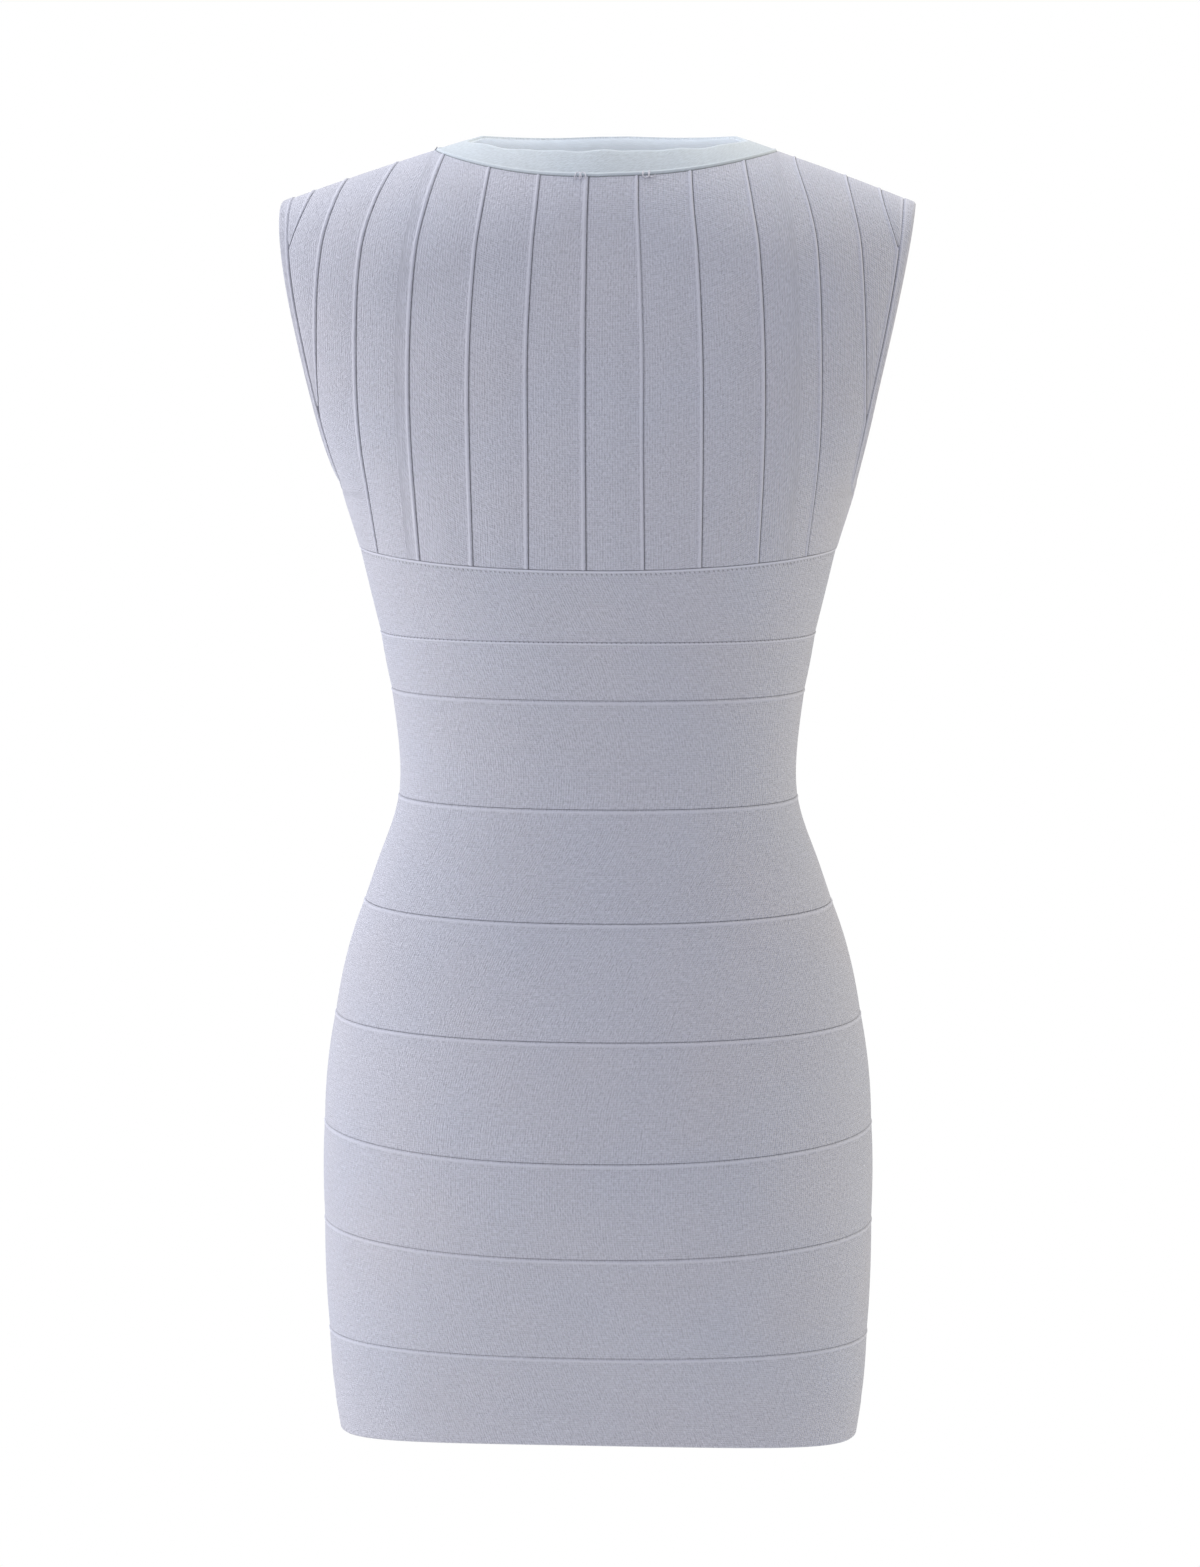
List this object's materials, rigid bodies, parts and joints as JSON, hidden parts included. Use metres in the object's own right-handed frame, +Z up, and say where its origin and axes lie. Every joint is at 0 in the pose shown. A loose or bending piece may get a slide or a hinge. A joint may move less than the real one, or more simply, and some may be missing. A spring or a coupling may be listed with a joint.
{
  "type": "bodycon dress",
  "caption": "Sleeveless mini bodycon dress in knitted bandage strips, filled out as worn and hollow: upright strips on the bodice, level bands below, a pale bound neck",
  "frame": {"origin": "middle of the neck opening, at the height where the shoulders meet the neck", "axes": "+Z up, -Y towards the back of the dress, +Y towards its front, +X towards its right armhole as seen from behind"},
  "size_m": [0.3766, 0.2419, 0.7842],
  "materials": {
    "knit": "matt fine bandage knit, pale lilac grey",
    "neck_trim": "smooth knit tape, pale ice blue"
  },
  "bodies": {
    "root": {"back_strip_1": "knit", "back_strip_2": "knit", "back_strip_3": "knit", "back_strip_4": "knit", "back_strip_5": "knit", "back_strip_6": "knit", "back_strip_7": "knit", "back_strip_8": "knit", "back_strip_9": "knit", "back_strip_10": "knit", "back_strip_11": "knit", "back_strip_12": "knit", "back_strip_13": "knit", "back_strip_14": "knit", "front_strip_1": "knit", "front_strip_2": "knit", "front_strip_3": "knit", "front_strip_4": "knit", "front_strip_5": "knit", "front_strip_6": "knit", "front_strip_7": "knit", "front_strip_8": "knit", "front_strip_9": "knit", "front_strip_10": "knit", "front_strip_11": "knit", "front_strip_12": "knit", "front_strip_13": "knit", "front_strip_14": "knit", "band_1": "knit", "band_2": "knit", "band_3": "knit", "band_4": "knit", "band_5": "knit", "band_6": "knit", "band_7": "knit", "band_8": "knit", "band_9": "knit", "neck_binding": "neck_trim", "armhole_binding_left": "knit", "armhole_binding_right": "knit"}
  },
  "joints": []
}
